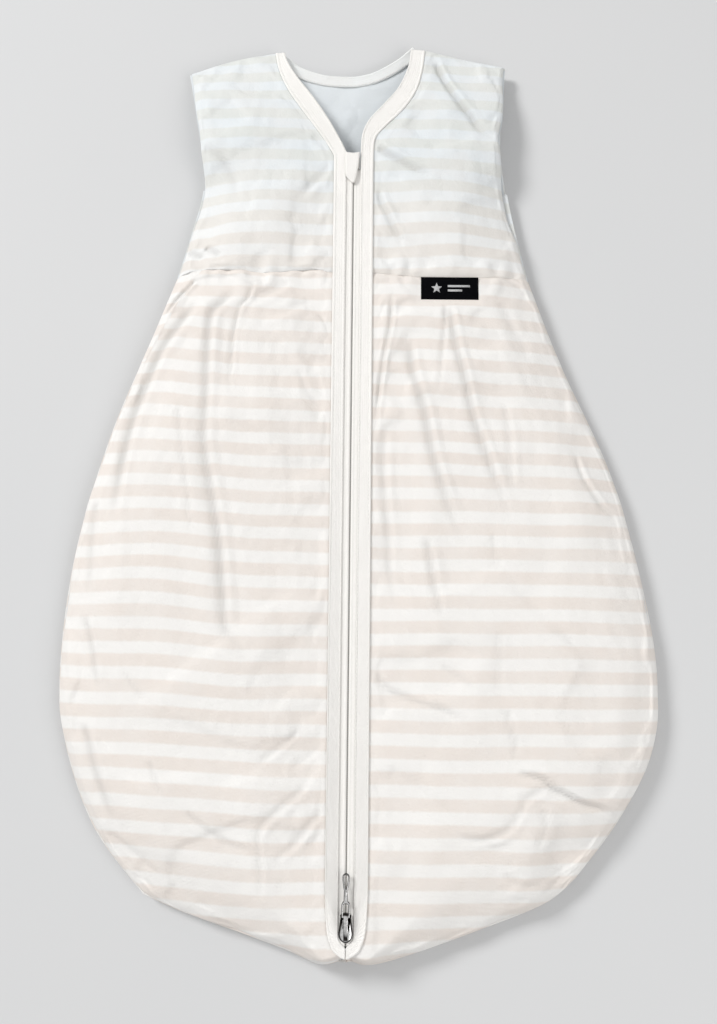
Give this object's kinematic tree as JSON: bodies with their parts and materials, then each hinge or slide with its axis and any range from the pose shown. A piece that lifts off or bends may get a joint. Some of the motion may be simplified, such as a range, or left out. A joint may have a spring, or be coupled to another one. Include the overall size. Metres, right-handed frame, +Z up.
{
  "type": "baby sleeping bag",
  "caption": "Sleeveless wadded baby sleeping bag, striped jersey, lying flat and zipped shut down the front, slider at the foot, chin guard at the neck.",
  "frame": {"origin": "under the back panel, on the zip line, half way between foot and neck, on the surface that the bag lies on", "axes": "+Y from the foot to the neck, +Z up out of the front, +X to the right of someone who looks down at the front"},
  "size_m": [0.4375, 0.7046, 0.0329],
  "materials": {
    "striped_jersey": "matte cotton single jersey, white with 9 mm beige stripes",
    "lining_jersey": "matte plain white cotton jersey",
    "facing_jersey": "matte cream white rib jersey, topstitched",
    "wadding": "lofted polyester fibre",
    "zip_tape": "woven polyester tape",
    "zip_plastic": "satin moulded nylon",
    "slider_metal": "polished nickel-plated zinc",
    "label_weave": "damask-woven black satin"
  },
  "bodies": {
    "bag": {"back_yoke_outer": "striped_jersey", "back_skirt_outer": "striped_jersey", "front_yoke_left_outer": "striped_jersey", "front_yoke_right_outer": "striped_jersey", "front_skirt_left_outer": "striped_jersey", "front_skirt_right_outer": "striped_jersey", "back_wadding": "wadding", "front_wadding_left": "wadding", "front_wadding_right": "wadding", "back_lining": "lining_jersey", "front_lining_left": "lining_jersey", "front_lining_right": "lining_jersey", "front_facing_left": "facing_jersey", "front_facing_right": "facing_jersey", "back_neck_binding": "facing_jersey", "zip_tape_left": "zip_tape", "zip_tape_right": "zip_tape", "zip_coil_left": "zip_plastic", "zip_coil_right": "zip_plastic", "zip_pin": "zip_plastic", "zip_box": "zip_plastic", "zip_bottom_stop": "slider_metal"},
    "slider": {"slider_body": "slider_metal", "slider_cap": "slider_metal", "lock_pawl": "slider_metal"},
    "pull": {"pull_tab": "slider_metal"},
    "guard": {"chin_guard": "facing_jersey"},
    "label": {"woven_label": "label_weave"}
  },
  "joints": [
    {"name": "zip_slide", "type": "slide", "parent": "bag", "child": "slider", "axis": [0, 1, 0], "range_m": [0, 0.537]},
    {"name": "pull_flip", "type": "hinge", "parent": "slider", "child": "pull", "pos_m": [0, -0.3155, 0.0304], "axis": [1, 0, 0], "range_deg": [0, 150]},
    {"name": "chin_guard_flip", "type": "hinge", "parent": "bag", "child": "guard", "pos_m": [-0.0065, 0.2385, 0.02855], "axis": [0, -1, 0], "range_deg": [0, 170]},
    {"name": "label_flip", "type": "hinge", "parent": "bag", "child": "label", "pos_m": [0.0745, 0.1495, 0.0258], "axis": [-1, 0, 0], "range_deg": [0, 150]}
  ]
}
